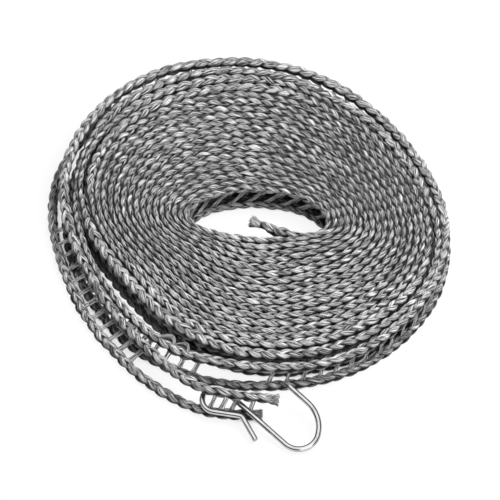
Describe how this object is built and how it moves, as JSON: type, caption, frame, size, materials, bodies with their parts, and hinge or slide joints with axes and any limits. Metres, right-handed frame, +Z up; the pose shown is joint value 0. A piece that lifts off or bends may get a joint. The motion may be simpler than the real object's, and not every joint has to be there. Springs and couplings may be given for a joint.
{
  "type": "ladder clothesline",
  "caption": "Coiled ladder clothesline: two knitted cords joined by cross yarns, with open slots for hangers, wound flat round an eye, and a bent wire hook at the free end.",
  "frame": {"origin": "on the surface that the coil lies on, below the middle of the whole object", "axes": "+Z up off the surface, +Y from the free end with the hook across the coil to its far side, +X to the right of +Y seen from above"},
  "size_m": [0.1362, 0.1655, 0.0114],
  "materials": {
    "grey_nylon": "knitted multifilament yarn with a soft sheen",
    "polished_steel": "polished"
  },
  "bodies": {
    "line": {"lower_cord_coil": "grey_nylon", "cross_yarn_coil": "grey_nylon", "upper_cord_coil": "grey_nylon", "lower_cord_loose_turns": "grey_nylon", "upper_cord_loose_turns": "grey_nylon", "lower_cord_outer_tip": "grey_nylon", "upper_cord_outer_tip": "grey_nylon", "cross_yarns_1": "grey_nylon", "cross_yarns_2": "grey_nylon", "cross_yarns_3": "grey_nylon", "cross_yarns_4": "grey_nylon", "cross_yarns_5": "grey_nylon", "cross_yarns_6": "grey_nylon", "cross_yarns_7": "grey_nylon", "cross_yarns_8": "grey_nylon", "lower_cord_inner_end": "grey_nylon", "upper_cord_inner_end": "grey_nylon", "lower_cord_inner_tip": "grey_nylon", "upper_cord_inner_tip": "grey_nylon", "cross_yarns_inner_end": "grey_nylon"},
    "hook": {"end_hook": "polished_steel"}
  },
  "joints": [
    {"name": "hook_swing", "type": "hinge", "parent": "line", "child": "hook", "pos_m": [-0.0085, -0.0644, 0.0047], "axis": [-0.9813, 0.1925, 0], "range_deg": [0, 35]}
  ]
}
